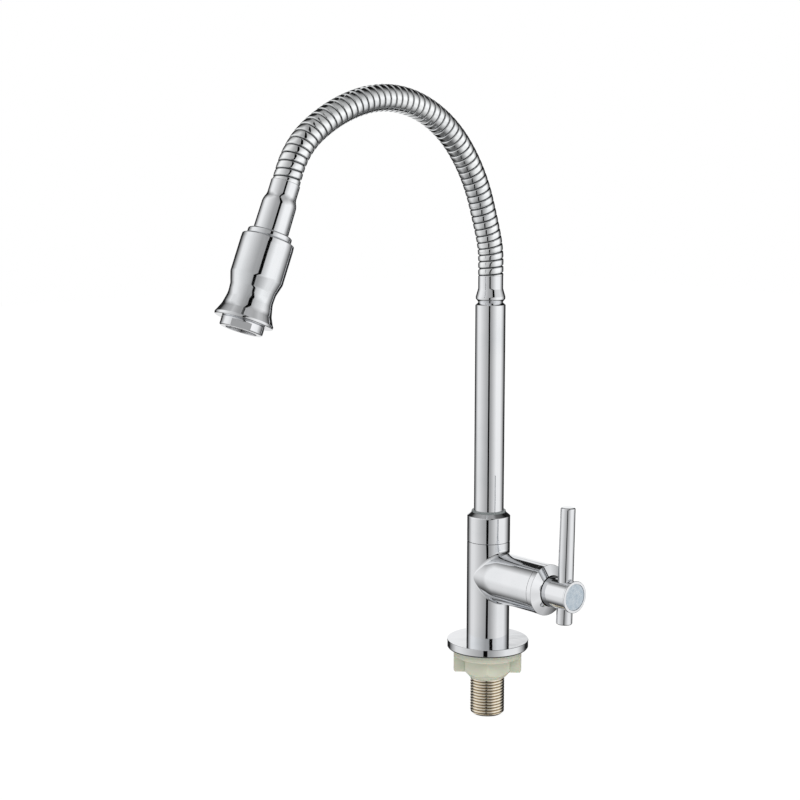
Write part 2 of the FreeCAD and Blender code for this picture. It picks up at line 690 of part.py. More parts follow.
def handle_screw():
    low = HEAD_SEAT - SCREW_LENGTH
    high = HEAD_SEAT + SCREW_HEAD_LENGTH
    shape = turned([(0, low), (SCREW_RADIUS, low), (SCREW_RADIUS, HEAD_SEAT), (SCREW_HEAD, HEAD_SEAT),
                    (SCREW_HEAD, high, EDGE), (0, high)])
    return along_barrel(shape.cut(prism(SCREW_KEY, 6, high - SCREW_KEY_DEPTH, high + PAST)))


# Riser

FOOT_LOW = SOCKET_FLOOR + FOOT_LIFT
FOOT_HIGH = FOOT_LOW + FOOT_LENGTH
RISER_BORE = RISER_RADIUS - RISER_WALL
FOOT_ORINGS = [FOOT_LOW + FOOT_ORING_INSET, FOOT_HIGH - FOOT_ORING_INSET]
FOOT_ORING_OUT = FOOT_RADIUS + RUN - FIT / 4


def spout_foot():
    plug = RISER_BORE - FIT
    floor = FOOT_ORING_OUT - 2 * ORING_SECTION - FIT
    half = ORING_SECTION + FIT
    profile = [(BORE_RADIUS, FOOT_LOW), (FOOT_RADIUS, FOOT_LOW, FOOT_LEAD)]
    for height in FOOT_ORINGS:
        profile += [(FOOT_RADIUS, height - half), (floor, height - half), (floor, height + half),
                    (FOOT_RADIUS, height + half)]
    profile += [(FOOT_RADIUS, FOOT_HIGH), (plug, FOOT_HIGH), (plug, FOOT_HIGH + FOOT_PLUG),
                (BORE_RADIUS, FOOT_HIGH + FOOT_PLUG)]
    return turned(profile)


def riser_tube():
    low = FOOT_HIGH + FIT
    high = SNAP_HIGH + FIT / 2
    return turned([(RISER_BORE, low), (RISER_RADIUS, low), (RISER_RADIUS, SNAP_LOW - FIT / 2),
                   (SNAP_GROOVE, SNAP_LOW - FIT / 2), (SNAP_GROOVE, high), (RISER_RADIUS, high),
                   (RISER_RADIUS, RISER_TOP - RISER_CHAMFER), (RISER_BORE + RISER_RIM, RISER_TOP),
                   (RISER_BORE, RISER_TOP)])


def spout_snap_ring():
    shape = ring(SNAP_GROOVE + RUN, NECK_RADIUS - FIT, SNAP_LOW, SNAP_HIGH)
    corner = Vector(0, -SNAP_SLOT / 2, SNAP_LOW - PAST)
    return shape.cut(Part.makeBox(NECK_RADIUS, SNAP_SLOT, SNAP_THICKNESS + 2 * PAST, corner))


def riser_ferrule():
    water = TUBE_RADIUS - TUBE_WALL
    bore = TUBE_RADIUS + FIT
    seat = HOSE_SEAT_RADIUS + FIT
    plug = RISER_BORE - FIT
    flare = RISER_TOP + FLARE_HEIGHT
    top = RISER_TOP + FERRULE_HEIGHT
    seat_low = top - HOSE_SEAT - FIT
    tube_low = top - TUBE_SEAT - FIT
    return turned([(water, RISER_TOP - FERRULE_PLUG), (plug, RISER_TOP - FERRULE_PLUG), (plug, RISER_TOP),
                   (RISER_BORE, RISER_TOP), (RISER_BORE, flare - FLARE_UNDER),
                   (FERRULE_FLARE, flare - FLARE_BAND, FLARE_ROUND),
                   (FERRULE_FLARE, flare + FLARE_BAND, FLARE_ROUND),
                   (FERRULE_NECK, RISER_TOP + TAPER_HEIGHT, TAPER_ROUND), (FERRULE_NECK, top), (seat, top),
                   (seat, seat_low), (bore, seat_low), (bore, tube_low), (water, tube_low)])


# Spray head

CONNECTOR_ORINGS = [CONNECTOR_END + place for place in SPIGOT_ORINGS]
ORING_OUT = SPIGOT_RADIUS + ORING_SQUEEZE - RUN / 2
SPIGOT_END = CONNECTOR_END + SPIGOT_LENGTH
CORE_TOP = RING_NUT_END - CORE_INSET
CORE_BORE_END = CORE_TOP + CORE_BORE_LENGTH
CIRCLIP_LOW = CORE_BORE_END + SEAM
CIRCLIP_FLOOR = SPIGOT_RADIUS - CIRCLIP_DEPTH
CHAMBER_END = SPIGOT_END + CORE_CHAMBER
REGULATOR_SEAT = CHAMBER_END + CORE_SHELF
PLATE_END = RING_NUT_END + SHELL_TOP_PLATE
INSIDE = SHELL_WAIST - SHELL_WALL
NOZZLE_BACK = SHELL_END + SEAM
NOZZLE_END = NOZZLE_BACK + NOZZLE_LENGTH
THREAD_BACK = SHELL_END - NOZZLE_THREAD_LENGTH
NOZZLE_BORE = NOZZLE_THREAD - NOZZLE_WALL
LIP_BACK = NOZZLE_END - NOZZLE_LIP_LENGTH
SCREEN_BACK = LIP_BACK - SCREEN_THICKNESS - FIT


def head_connector():
    floor = ORING_OUT - 2 * HEAD_ORING - FIT
    half = HEAD_ORING + FIT
    tube = TUBE_RADIUS + FIT
    seat = HOSE_SEAT_RADIUS + FIT
    under_neck, at_shoulder = CONNECTOR_EDGES
    profile = [(tube, HOSE_SEAT + FIT), (seat, HOSE_SEAT + FIT), (seat, 0), (CONNECTOR_NECK, 0, EDGE),
               (CONNECTOR_NECK, CONNECTOR_NECK_LENGTH, under_neck),
               (CONNECTOR_SHOULDER, CONNECTOR_SHOULDER_END, at_shoulder),
               (CONNECTOR_END_RADIUS, CONNECTOR_END, EDGE), (SPIGOT_RADIUS, CONNECTOR_END)]
    for along in CONNECTOR_ORINGS:
        profile += [(SPIGOT_RADIUS, along - half), (floor, along - half), (floor, along + half),
                    (SPIGOT_RADIUS, along + half)]
    low = CIRCLIP_LOW - FIT / 2
    high = CIRCLIP_LOW + CIRCLIP_THICKNESS + FIT / 2
    profile += [(SPIGOT_RADIUS, low), (CIRCLIP_FLOOR, low), (CIRCLIP_FLOOR, high), (SPIGOT_RADIUS, high),
                (SPIGOT_RADIUS, SPIGOT_END), (SPIGOT_BORE, SPIGOT_END), (SPIGOT_BORE, TUBE_SEAT + FIT),
                (tube, TUBE_SEAT + FIT)]
    return on_head(turned(profile))


def head_orings():
    rings = [oring(ORING_OUT, HEAD_ORING, along) for along in CONNECTOR_ORINGS]
    return on_head(Part.makeCompound(rings))


def head_circlip():
    shape = ring(CIRCLIP_FLOOR + RUN, HEAD_CIRCLIP, CIRCLIP_LOW, CIRCLIP_LOW + CIRCLIP_THICKNESS)
    corner = Vector(0, -CIRCLIP_SLOT / 2, CIRCLIP_LOW - PAST)
    gap = Part.makeBox(HEAD_CIRCLIP, CIRCLIP_SLOT, CIRCLIP_THICKNESS + 2 * PAST, corner)
    return on_head(shape.cut(gap))


def head_ring():
    hole = SPIGOT_RADIUS + ORING_SQUEEZE + RUN
    low = CONNECTOR_END + SEAM
    thread = CORE_NECK + FIT
    return on_head(turned([(hole, low), (RING_NUT_RADIUS, low, RING_NUT_EDGE),
                           (RING_NUT_RADIUS, RING_NUT_END, RING_NUT_EDGE), (thread, RING_NUT_END),
                           (thread, low + RING_NUT_LIP), (hole, low + RING_NUT_LIP)]))


def head_core():
    bore = SPIGOT_RADIUS + ORING_SQUEEZE + RUN
    wide = HEAD_CIRCLIP + CIRCLIP_ROOM
    room = REGULATOR_RADIUS + FIT
    return on_head(turned([(bore, CORE_TOP), (CORE_NECK, CORE_TOP), (CORE_NECK, PLATE_END + FIT),
                           (CORE_RADIUS, PLATE_END + FIT), (CORE_RADIUS, CORE_END), (room, CORE_END),
                           (room, REGULATOR_SEAT), (BORE_RADIUS, REGULATOR_SEAT), (BORE_RADIUS, CHAMBER_END),
                           (wide, CHAMBER_END), (wide, CORE_BORE_END), (bore, CORE_BORE_END)]))


def head_shell():
    hole = CORE_NECK + FIT
    low = RING_NUT_END + FIT
    inner = SHELL_RADIUS - SHELL_WALL
    thread = NOZZLE_THREAD + FIT
    thread_start = THREAD_BACK - AERATOR_SEAL - 2 * FIT
    step, waist, bell = SHELL_CURVES
    lip, rim = SHELL_LIP_ROUNDS
    return on_head(turned([
        (hole, low), (SHELL_TOP_RADIUS, low, SHELL_TOP_EDGE), (SHELL_RADIUS, low + SHELL_TOP_LENGTH, step),
        (SHELL_RADIUS, SHELL_CYLINDER_END, step), (SHELL_SHOULDER, SHELL_SHOULDER_END, step),
        (SHELL_WAIST, SHELL_WAIST_AT, waist), (SHELL_BELL, SHELL_BELL_AT, bell),
        (SHELL_LIP, SHELL_LIP_AT, lip), (SHELL_LIP - SHELL_LIP_EDGE, SHELL_END, rim), (thread, SHELL_END),
        (thread, thread_start), (INSIDE, thread_start), (INSIDE, SHELL_SHOULDER_END - SHELL_STEP),
        (inner, SHELL_CYLINDER_END - SHELL_STEP), (inner, PLATE_END), (hole, PLATE_END)]))


def ring_of_holes(count, hole, reach, low, high):
    """Round holes on a circle about Z, as cutting cylinders."""
    holes = []
    for number in range(count):
        angle = 2 * math.pi * number / count
        place = Vector(reach * math.cos(angle), reach * math.sin(angle), low - PAST)
        holes.append(Part.makeCylinder(hole, high - low + 2 * PAST, place))
    return holes


def flow_regulator():
    low = REGULATOR_SEAT + FIT
    high = low + REGULATOR_THICKNESS
    shape = ring(0, REGULATOR_RADIUS, low, high)
    holes = ring_of_holes(REGULATOR_HOLES, REGULATOR_HOLE, REGULATOR_RADIUS / 2, low, high)
    return on_head(shape.cut(holes))


def aerator_housing():
    mouth = NOZZLE_BORE - NOZZLE_LIP
    shape = turned([(NOZZLE_BORE, THREAD_BACK), (NOZZLE_THREAD, THREAD_BACK, EDGE),
                    (NOZZLE_THREAD, NOZZLE_BACK), (NOZZLE_RADIUS, NOZZLE_BACK, EDGE),
                    (NOZZLE_RADIUS, NOZZLE_END, NOZZLE_EDGE),
                    (mouth, NOZZLE_END, EDGE), (mouth, LIP_BACK), (NOZZLE_BORE, LIP_BACK)])
    for side in (0, 180):
        flat = Part.makeBox(2 * NOZZLE_RADIUS, NOZZLE_RADIUS, NOZZLE_LENGTH,
                            Vector(-NOZZLE_RADIUS, NOZZLE_FLATS, NOZZLE_BACK + NOZZLE_COLLAR))
        flat.rotate(Vector(0, 0, 0), Vector(0, 0, 1), side + FLAT_TURN)
        shape = shape.cut(flat)
    return on_head(shape)


def aerator_seal():
    inner = NOZZLE_BORE - AERATOR_SEAL_WALL
    high = THREAD_BACK - FIT
    return on_head(ring(inner, NOZZLE_THREAD - FIT, high - AERATOR_SEAL, high, EDGE))


def aerator_insert():
    low = THREAD_BACK + INSERT_BACK
    high = SCREEN_BACK - INSERT_CLEAR
    outer = NOZZLE_BORE - FIT
    inner = outer - INSERT_WALL
    plate = low + INSERT_PLATE
    shape = turned([(0, low), (outer, low), (outer, high), (inner, high), (inner, plate), (0, plate)])
    return on_head(shape.cut(ring_of_holes(INSERT_HOLES, INSERT_HOLE, outer * INSERT_CIRCLE, low, plate)))


def aerator_screen():
    low = SCREEN_BACK
    high = SCREEN_BACK + SCREEN_THICKNESS
    holes = ring_of_holes(1, SCREEN_HOLE, 0, low, high)
    for circle in range(1, SCREEN_RINGS + 1):
        holes += ring_of_holes(6 * circle, SCREEN_HOLE, SCREEN_SPACING * circle, low, high)
    return on_head(ring(0, NOZZLE_BORE - FIT, low, high).cut(holes))


WASHER_LOW = SHANK_TOP + FIT / 2
CLIP_PLACE = CLIP_LOW + FIT / 2
CLIP_HOLE = CLIP_FLOOR + RUN
CARTRIDGE_ORING_PLACE = CARTRIDGE_GROOVE - ORING_SECTION - FIT
SEAT_SEAL_HOLE = BORE_RADIUS + 2 * FIT

pieces = {
    "tap_body": tap_body(),
    "base_flange": base_flange(),
    "base_seal": ring(THREAD_RADIUS + FIT, SEAL_RADIUS, 0, SEAL_THICKNESS),
    "threaded_shank": threaded_shank(),
    "shank_seal": ring(SHANK_BORE, THREAD_RADIUS - FIT, WASHER_LOW, WASHER_LOW + WASHER_THICKNESS),
    "mounting_nut": mounting_nut(),
    "collar_nut": collar_nut(),
    "spout_bush": spout_bush(),
    "bonnet_ring": along_barrel(bonnet_ring()),
    "cartridge_body": cartridge_body(),
    "cartridge_seat_seal": along_barrel(ring(SEAT_SEAL_HOLE, CAGE_RADIUS, SEAT_FACE, SEAT_FACE + SEAT_SEAL)),
    "ceramic_disc_fixed": ceramic_disc(DISC_BACK, DISC_FACE, DISC_RADIUS, 90),
    "cartridge_oring": along_barrel(oring(CARTRIDGE_ORING, ORING_SECTION, CARTRIDGE_ORING_PLACE)),
    "ceramic_disc_moving": ceramic_disc(DISC_FACE + SEAM / 2, CARRIER_BACK, DISC_RADIUS - RUN, 0),
    "cartridge_spindle": cartridge_spindle(),
    "spindle_orings": along_barrel(orings(STEM_RADIUS + RUN / 2, STEM_ORINGS)),
    "spindle_clip": along_barrel(ring(CLIP_HOLE, CLIP_RADIUS, CLIP_PLACE, CLIP_PLACE + CLIP_THICKNESS)),
    "handle_hub": handle_hub(),
    "lever": lever(),
    "handle_screw": handle_screw(),
    "index_disc": along_barrel(ring(0, INDEX_RADIUS, INDEX_BACK, INDEX_BACK + INDEX_THICKNESS, INDEX_EDGE)),
    "spout_foot": spout_foot(),
    "spout_orings": orings(FOOT_ORING_OUT, FOOT_ORINGS),
    "riser_tube": riser_tube(),
    "spout_snap_ring": spout_snap_ring(),
    "riser_ferrule": riser_ferrule(),
    "head_connector": head_connector(),
    "head_orings": head_orings(),
    "head_circlip": head_circlip(),
    "head_ring": head_ring(),
    "head_core": head_core(),
    "head_shell": head_shell(),
    "flow_regulator": flow_regulator(),
    "aerator_seal": aerator_seal(),
    "aerator_housing": aerator_housing(),
    "aerator_insert": aerator_insert(),
    "aerator_screen": aerator_screen(),
}
for number in range(HOSE_LENGTHS):
    pieces["hose_%d" % (number + 1)] = hose_length(number)
    pieces["water_tube_%d" % (number + 1)] = water_tube(number)

for name, shape in pieces.items():
    note = "" if shape.isValid() else "NOT VALID"
    print("%-22s %2d solid %9.1f mm3 %s" % (name, len(shape.Solids), shape.Volume, note))
    shape.exportStep("parts/%s.step" % name)

for number in range(1, HOSE_LENGTHS):
    point, turn = hose_point(number * LENGTH_STEP)
    print("ball joint %d at y %.4f z %.4f turn %.4f" % (number, point.y, point.z, turn))
point, turn = hose_point(HOSE_LENGTH)
print("hose end at y %.4f z %.4f turn %.4f" % (point.y, point.z, turn))
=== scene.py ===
# %% [markdown]
# # A cold water tap in chrome
# This lesson dresses a finished model of a kitchen tap: a chrome body with a side lever, a straight riser,
# a ribbed gooseneck hose and a small spray head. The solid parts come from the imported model, so every
# piece is already in its place and moves on the right joint. What is left to do here is the camera, the
# studio, the finishes, and the few pieces whose surface is too fine for the solid model.

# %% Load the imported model
import json
import math

import bpy
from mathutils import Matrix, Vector


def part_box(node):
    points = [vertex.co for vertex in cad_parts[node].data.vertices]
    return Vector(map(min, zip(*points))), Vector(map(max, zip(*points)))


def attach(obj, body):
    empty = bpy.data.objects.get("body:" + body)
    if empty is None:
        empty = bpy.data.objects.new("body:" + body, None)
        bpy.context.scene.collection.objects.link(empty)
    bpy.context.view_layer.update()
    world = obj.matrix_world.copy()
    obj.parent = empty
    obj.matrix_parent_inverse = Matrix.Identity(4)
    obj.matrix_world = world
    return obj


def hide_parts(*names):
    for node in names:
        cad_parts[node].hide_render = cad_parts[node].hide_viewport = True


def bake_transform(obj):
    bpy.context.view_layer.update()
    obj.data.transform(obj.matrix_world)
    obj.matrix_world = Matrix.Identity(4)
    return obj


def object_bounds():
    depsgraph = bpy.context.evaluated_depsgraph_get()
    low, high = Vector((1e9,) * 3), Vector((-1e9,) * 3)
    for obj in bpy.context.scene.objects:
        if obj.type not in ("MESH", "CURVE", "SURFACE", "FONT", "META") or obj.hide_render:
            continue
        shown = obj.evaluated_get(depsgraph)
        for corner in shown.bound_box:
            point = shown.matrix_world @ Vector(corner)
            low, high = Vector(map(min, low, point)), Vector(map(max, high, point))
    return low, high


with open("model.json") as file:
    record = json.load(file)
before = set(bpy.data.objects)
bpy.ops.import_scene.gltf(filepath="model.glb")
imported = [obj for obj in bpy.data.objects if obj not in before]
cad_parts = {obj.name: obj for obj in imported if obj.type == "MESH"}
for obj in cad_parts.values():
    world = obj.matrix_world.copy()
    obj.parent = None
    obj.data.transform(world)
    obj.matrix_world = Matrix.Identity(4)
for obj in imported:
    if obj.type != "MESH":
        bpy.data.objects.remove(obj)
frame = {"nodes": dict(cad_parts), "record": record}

MM = 0.001
nodes = frame["nodes"]
record = frame["record"]
cad_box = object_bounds()

# %% [markdown]
# ## Camera
# The photograph was taken from between the spout and the barrel, from near the height of the hose's top,
# looking down a little. A camera was fitted to the inlet thread, whose real size is a standard one, to the
# flange and the riser, and to the hose's line. Its distance of 1 m was chosen, because it gives the spout a
# plausible height and reach. The fit itself leans towards a greater distance, about 2.7 m. A long lens like
# this one keeps upright lines nearly parallel, as product photographs do.

# %% Camera
CAMERA_PLACE = (0.7047, -0.6932, 0.308)
CAMERA_TURN = math.radians(48.6)
CAMERA_DOWN = math.radians(8.9)
CAMERA_LENS = 74.7
SENSOR_WIDTH = 36.0

camera_data = bpy.data.cameras.new("photo_camera")
camera_data.lens = CAMERA_LENS
camera_data.sensor_width = SENSOR_WIDTH
camera = bpy.data.objects.new("photo_camera", camera_data)
camera.location = CAMERA_PLACE
camera.rotation_euler = (math.pi / 2 - CAMERA_DOWN, 0.0, CAMERA_TURN)
bpy.context.scene.collection.objects.link(camera)
bpy.context.scene.camera = camera
bpy.context.scene.view_settings.view_transform = "Standard"
print("camera", CAMERA_PLACE, "lens", CAMERA_LENS)

# %% [markdown]
# ## Studio
# Polished chrome has almost no colour of its own: what it shows is the room. The room could be built from
# glowing cards, but a card near the tap would stand in the way when the tap is seen from the other side.
# So the room is painted on the world instead, by direction: a wide soft light to the left and to the right,
# a dim wall with a narrow dark gap between them behind the camera, and a dark screen on either side of the
# white background. The gap draws the thin black line down the middle of every tube, and the screens draw
# the dark outline at its sides.

# %% The room, by compass direction
# Directions are degrees round the tap, from the camera's direction towards the picture's right. Each light
# has the direction where it starts, the two between which it is at its full brightness, and the one where
# it ends.
LEFT_LIGHT = (-140, -105, -85, -15)
LEFT_BRIGHT = 0.95
RIGHT_LIGHT = (5, 50, 90, 130)
RIGHT_BRIGHT = 1.05
FRONT_WALL = 0.42           # the dim wall between the two lights, behind the camera
SCREEN = 0.02
SCREEN_END = 176            # the dark screens end here, and the white background starts
WHITE = 1.0
SOFT_EDGE = 2               # degrees over which a screen ends


def light_stops(light, before, bright, after):
    """The ramp's stops for one light, with what lies before and after it."""
    start, full_from, full_to, end = light
    return [(start, before), (full_from, bright), (full_to, bright), (end, after)]


ROOM = [(-180, WHITE), (-SCREEN_END - SOFT_EDGE, WHITE), (-SCREEN_END, SCREEN)]
ROOM += light_stops(LEFT_LIGHT, SCREEN, LEFT_BRIGHT, FRONT_WALL)
ROOM += light_stops(RIGHT_LIGHT, FRONT_WALL, RIGHT_BRIGHT, SCREEN)
ROOM += [(SCREEN_END, SCREEN), (SCREEN_END + SOFT_EDGE, WHITE), (180, WHITE)]
GAP_LOW = (-0.10, -9.0, 5.5)    # at this height and below: degrees to the right, half the width
GAP_HIGH = (0.46, 24.0, 9.0)    # at this height and above
GAP_DARK = 0.003
GAP_EDGE = 1.2              # degrees over which the gap turns light
WHITE_EDGE = 164.0          # low down the screens end here already, in degrees
WHITE_TOP = (0.36, 0.28)    # the heights between which that sets in, from above
CEILING = 0.34
CEILING_FROM = (0.93, 0.99)
DESK = 0.12
DESK_FROM = (-0.86, -0.97)
PLAIN_LIGHT = 0.72          # the room's light on everything that isn't a mirror

# %% [markdown]
# The lights also fade with height. A fade has its depth and one or more masks, and each mask names a
# direction and how far a ray points along it where the fade sets in and where it is full.

# %% Fades
FADES = (
    (0.56, (("up", 0.12, 0.72), ("right", -0.1, 0.3))),
    (0.60, (("up", 0.60, 0.93), ("camera", 0.25, -0.1))),
    (0.80, (("up", -0.50, -0.97),)),
    (0.60, (("up", -0.25, -0.70), ("camera", 0.0, -0.35), ("right", 0.0, -0.3))),
    (0.14, (("up", -0.05, -0.26),)),
)

# %% Helpers for node trees


def give(tree, socket, value):
    """Sets an input to a number or a colour, or links it to an output."""
    if isinstance(value, bpy.types.NodeSocket):
        tree.links.new(value, socket)
    else:
        socket.default_value = value


def new_node(tree, kind, **inputs):
    """Adds a node and gives it its inputs; an underscore in a name stands for a space."""
    node = tree.nodes.new(kind)
    for key, value in inputs.items():
        give(tree, node.inputs[key.replace("_", " ")], value)
    return node


def maths(tree, operation, first, second=0.0, third=0.0):
    """A Math node; returns its output."""
    node = tree.nodes.new("ShaderNodeMath")
    node.operation = operation
    for socket, value in zip(node.inputs, (first, second, third)):
        give(tree, socket, value)
    return node.outputs[0]


def map_range(tree, value, low, high, to_low=0.0, to_high=1.0):
    """A clamped Map Range node; returns its output."""
    node = new_node(tree, "ShaderNodeMapRange", Value=value, From_Min=low, From_Max=high,
                    To_Min=to_low, To_Max=to_high)
    return node.outputs["Result"]


def blend_colour(tree, amount, first, second):
    """A colour Mix node; returns its output."""
    node = tree.nodes.new("ShaderNodeMix")
    node.data_type = "RGBA"
    for number, value in ((0, amount), (6, first), (7, second)):
        give(tree, node.inputs[number], value)
    return node.outputs[2]


def colour(red, green, blue):
    return (red, green, blue, 1.0)


def grey(value):
    return colour(value, value, value)


# %% World
world = bpy.data.worlds.new("studio")
bpy.context.scene.world = world
world.use_nodes = True
tree = world.node_tree
tree.nodes.clear()
sky = tree.nodes.new("ShaderNodeTexCoord").outputs["Generated"]


def towards(direction):
    """How far a ray points along a direction, from -1 to 1."""
    node = tree.nodes.new("ShaderNodeVectorMath")
    node.operation = "DOT_PRODUCT"
    tree.links.new(sky, node.inputs[0])
    node.inputs[1].default_value = direction
    return node.outputs["Value"]


along = {}
along["camera"] = towards((math.sin(CAMERA_TURN), -math.cos(CAMERA_TURN), 0.0))
along["right"] = towards((math.cos(CAMERA_TURN), math.sin(CAMERA_TURN), 0.0))
along["up"] = towards((0.0, 0.0, 1.0))
height = along["up"]
compass = maths(tree, "ARCTAN2", along["right"], along["camera"])
place = map_range(tree, compass, -math.pi, math.pi)
room = tree.nodes.new("ShaderNodeValToRGB")
tree.links.new(place, room.inputs["Fac"])
stops = room.color_ramp.elements
while len(stops) > 1:
    stops.remove(stops[-1])
for number, (degrees, bright) in enumerate(ROOM):
    spot = (degrees + 180) / 360
    stop = stops[0] if number == 0 else stops.new(spot)
    stop.position = spot
    stop.color = grey(bright)

# The gap behind the camera leans, and it is wider above the tap than below.
gap_middle, gap_half = [
    map_range(tree, height, GAP_LOW[0], GAP_HIGH[0], math.radians(at_low), math.radians(at_high))
    for at_low, at_high in zip(GAP_LOW[1:], GAP_HIGH[1:])]
from_gap = maths(tree, "ABSOLUTE", maths(tree, "SUBTRACT", compass, gap_middle))
past_gap = maths(tree, "SUBTRACT", from_gap, gap_half)
lit = map_range(tree, past_gap, 0.0, math.radians(GAP_EDGE))
reflected = blend_colour(tree, lit, grey(GAP_DARK), room.outputs["Color"])

# Low down the screens stand further apart, so that the flange shows the white background.
off_camera = maths(tree, "ABSOLUTE", compass)
beside = map_range(tree, off_camera, math.radians(WHITE_EDGE - SOFT_EDGE), math.radians(WHITE_EDGE))
behind = maths(tree, "MULTIPLY", beside, map_range(tree, height, *WHITE_TOP))
reflected = blend_colour(tree, behind, reflected, grey(WHITE))

# The lights fade towards the ceiling, on the right and at the back, and towards the desk, most at the back
# left.
faded = 1.0
for depth, masks in FADES:
    amount = depth
    for direction, start, full in masks:
        amount = maths(tree, "MULTIPLY", map_range(tree, along[direction], start, full), amount)
    faded = maths(tree, "MULTIPLY", maths(tree, "SUBTRACT", 1.0, amount), faded)
reflected = blend_colour(tree, faded, grey(0.0), reflected)
over = map_range(tree, height, *CEILING_FROM)
under = map_range(tree, height, *DESK_FROM)
reflected = blend_colour(tree, over, reflected, grey(CEILING))
reflected = blend_colour(tree, under, reflected, grey(DESK))
rays = tree.nodes.new("ShaderNodeLightPath")
mirror = maths(tree, "MAXIMUM", rays.outputs["Is Glossy Ray"], rays.outputs["Is Transmission Ray"])
seen = blend_colour(tree, mirror, grey(PLAIN_LIGHT), reflected)
seen = blend_colour(tree, rays.outputs["Is Camera Ray"], seen, grey(WHITE))
background = new_node(tree, "ShaderNodeBackground", Color=seen, Strength=1.0)
output = tree.nodes.new("ShaderNodeOutputWorld")
tree.links.new(background.outputs[0], output.inputs["Surface"])
print("room stops:", len(ROOM))

# %% [markdown]
# One soft lamp from above the camera gives the plastic and rubber pieces a light side and a shadow. It stays
# out of the reflections, because the room above already draws those. The floor is a pale sheet just under
# the inlet thread. For the camera it is nearly as bright as the background, and it keeps a trace of shadow.

# %% Lamp and floor
LAMP_PLACE = Vector((1.05, -0.68, 1.15))
LAMP_AIM = Vector((0.0, 0.0, 0.1))
LAMP_WIDTH = 0.9
LAMP_WATTS = 9.0
lamp_data = bpy.data.lights.new("soft_key", "AREA")
lamp_data.shape = "DISK"
lamp_data.size = LAMP_WIDTH
lamp_data.energy = LAMP_WATTS
lamp = bpy.data.objects.new("soft_key", lamp_data)
lamp.location = LAMP_PLACE
lamp.rotation_euler = (LAMP_AIM - LAMP_PLACE).to_track_quat("-Z", "Y").to_euler()
lamp.visible_glossy = False
lamp.visible_camera = False
bpy.context.scene.collection.objects.link(lamp)

FLOOR_GAP = 0.6 * MM
FLOOR_HEIGHT = cad_box[0][2] - FLOOR_GAP
FLOOR_SIZE = 2.5
FLOOR_WHITE = 0.88          # the glow's share in what the camera sees of the floor
FLOOR_GLOW = 1.06
floor_mesh = bpy.data.meshes.new("floor")
corners = [(x * FLOOR_SIZE, y * FLOOR_SIZE, FLOOR_HEIGHT) for x, y in ((-1, -1), (1, -1), (1, 1), (-1, 1))]
floor_mesh.from_pydata(corners, [], [(0, 1, 2, 3)])
floor = bpy.data.objects.new("floor", floor_mesh)
bpy.context.scene.collection.objects.link(floor)
floor.visible_glossy = False

floor_paint = bpy.data.materials.new("floor_sheet")
floor_paint.use_nodes = True
tree = floor_paint.node_tree
tree.nodes.clear()
sheet = new_node(tree, "ShaderNodeBsdfDiffuse", Color=grey(1.0))
glow = new_node(tree, "ShaderNodeEmission", Color=grey(1.0), Strength=FLOOR_GLOW)
rays = tree.nodes.new("ShaderNodeLightPath")
share = maths(tree, "MULTIPLY", rays.outputs["Is Camera Ray"], FLOOR_WHITE)
mix = tree.nodes.new("ShaderNodeMixShader")
tree.links.new(share, mix.inputs[0])
tree.links.new(sheet.outputs[0], mix.inputs[1])
tree.links.new(glow.outputs[0], mix.inputs[2])
output = tree.nodes.new("ShaderNodeOutputMaterial")
tree.links.new(mix.outputs[0], output.inputs["Surface"])
floor_mesh.materials.append(floor_paint)
print("floor at", round(FLOOR_HEIGHT / MM, 1), "mm")

# %% [markdown]
# ## Shared effects
# Several finishes need the same kinds of unevenness: the faint smears and the very slight ripple of a
# polished surface, the fine rings that a lathe leaves, the grain of a mould, and edges that are rubbed
# brighter. Each is a node group with named inputs, so that one recipe serves every finish with its own
# values. They read the object's own coordinates in metres, so a scale of 1000 gives marks of about 1 mm.

# %% Helper for node groups


def effect(name, inputs, outputs):
    """A new shader node group with float inputs (name, default) and outputs (name, kind)."""
    group = bpy.data.node_groups.new(name, "ShaderNodeTree")
    for label, value in inputs:
        socket = group.interface.new_socket(label, in_out="INPUT", socket_type="NodeSocketFloat")
        socket.default_value = value
    for label, kind in outputs:
        group.interface.new_socket(label, in_out="OUTPUT", socket_type="NodeSocket" + kind)
    start = group.nodes.new("NodeGroupInput")
    end = group.nodes.new("NodeGroupOutput")
    return group, start.outputs, end.inputs


def noise(tree, scale, detail, vector=None):
    """A noise texture on the object's own coordinates, or on the given ones; returns its value."""
    node = new_node(tree, "ShaderNodeTexNoise", Scale=scale, Detail=detail)
    if vector is None:
        vector = tree.nodes.new("ShaderNodeTexCoord").outputs["Object"]
    tree.links.new(vector, node.inputs["Vector"])
    return node.outputs["Fac"]


def stretched(tree, scale):
    """Object coordinates stretched by a different scale along each axis."""
    node = tree.nodes.new("ShaderNodeMapping")
    tree.links.new(tree.nodes.new("ShaderNodeTexCoord").outputs["Object"], node.inputs["Vector"])
    node.inputs["Scale"].default_value = scale
    return node.outputs["Vector"]


